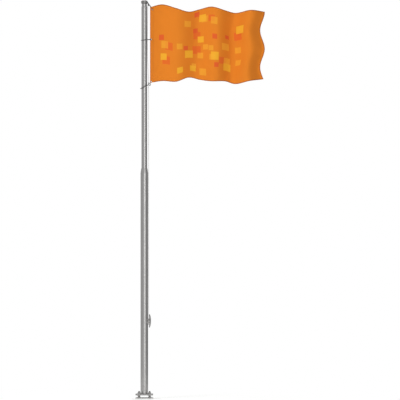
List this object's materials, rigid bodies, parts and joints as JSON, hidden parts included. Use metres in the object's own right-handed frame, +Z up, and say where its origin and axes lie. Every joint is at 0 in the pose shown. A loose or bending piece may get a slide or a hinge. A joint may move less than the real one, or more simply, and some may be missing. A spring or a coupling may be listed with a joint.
{
  "type": "flagpole",
  "caption": "Stepped aluminium flagpole on a bolted base, with a turning truck, an outside halyard on a cleat, mast rings and a rippling orange flag.",
  "frame": {"origin": "middle of the anchor plate's underside, at ground level on the mast's axis", "axes": "+Z up along the mast; +X from the mast towards the cleat, the halyard and the flag's fly; +Y by the right-hand rule"},
  "size_m": [1.705, 0.23, 5.2693],
  "materials": {
    "anodised_tube": "satin anodised extruded tube with fine lengthwise lines",
    "mill_aluminium": "dull cast and welded aluminium, slightly weathered",
    "cap_aluminium": "turned and polished, light scratches",
    "galvanised_steel": "hot-dip galvanised with a faint spangle",
    "zinc_steel": "zinc-plated, a little dull",
    "dark_metal": "dark grey coating, worn at the edges; the collar is a lighter grey",
    "sheave_plastic": "black nylon",
    "rope": "braided white polyester, slightly grey; its seizing and twine are black",
    "heading_fabric": "stitched woven tape",
    "flag_fabric": "knitted polyester, printed with scattered squares",
    "eyelet_brass": "dull rolled brass, gone brown"
  },
  "bodies": {
    "mast": {"anchor_plate": "galvanised_steel", "anchor_rod_1": "zinc_steel", "anchor_rod_2": "zinc_steel", "anchor_rod_3": "zinc_steel", "anchor_rod_4": "zinc_steel", "plate_washers": "zinc_steel", "plate_nuts": "zinc_steel", "levelling_nuts": "zinc_steel", "levelling_washers": "zinc_steel", "base_flange": "mill_aluminium", "flange_washers": "zinc_steel", "flange_nuts": "zinc_steel", "flange_weld": "mill_aluminium", "lower_tube": "anodised_tube", "reducer_collar": "anodised_tube", "upper_tube": "anodised_tube", "truck_spindle": "anodised_tube", "spindle_nut": "zinc_steel", "cleat_saddle": "mill_aluminium", "cleat_screws": "zinc_steel", "cleat_posts": "mill_aluminium", "cleat_horns": "mill_aluminium", "halyard_lower": "rope", "halyard_belay": "rope"},
    "flag": {"swivel_collar": "dark_metal", "dome_cap": "cap_aluminium", "truck_arm": "dark_metal", "sheave_pin": "zinc_steel", "halyard_upper": "rope", "halyard_hitch": "rope", "top_snap_hook": "dark_metal", "mid_ring": "dark_metal", "bottom_ring": "dark_metal", "bottom_snap_hook": "dark_metal", "bottom_link_ring": "dark_metal", "heading_tape": "heading_fabric", "eyelets": "eyelet_brass", "flag_cloth": "flag_fabric"},
    "sheave": {"sheave": "sheave_plastic"}
  },
  "joints": [
    {"name": "head_turn", "type": "hinge", "parent": "mast", "child": "flag", "pos_m": [0, 0, 5.23], "axis": [0, 0, 1], "range_deg": [-180, 180]},
    {"name": "sheave_spin", "type": "hinge", "parent": "flag", "child": "sheave", "pos_m": [0.0563, 0, 5.1965], "axis": [0, 1, 0], "continuous": true}
  ]
}
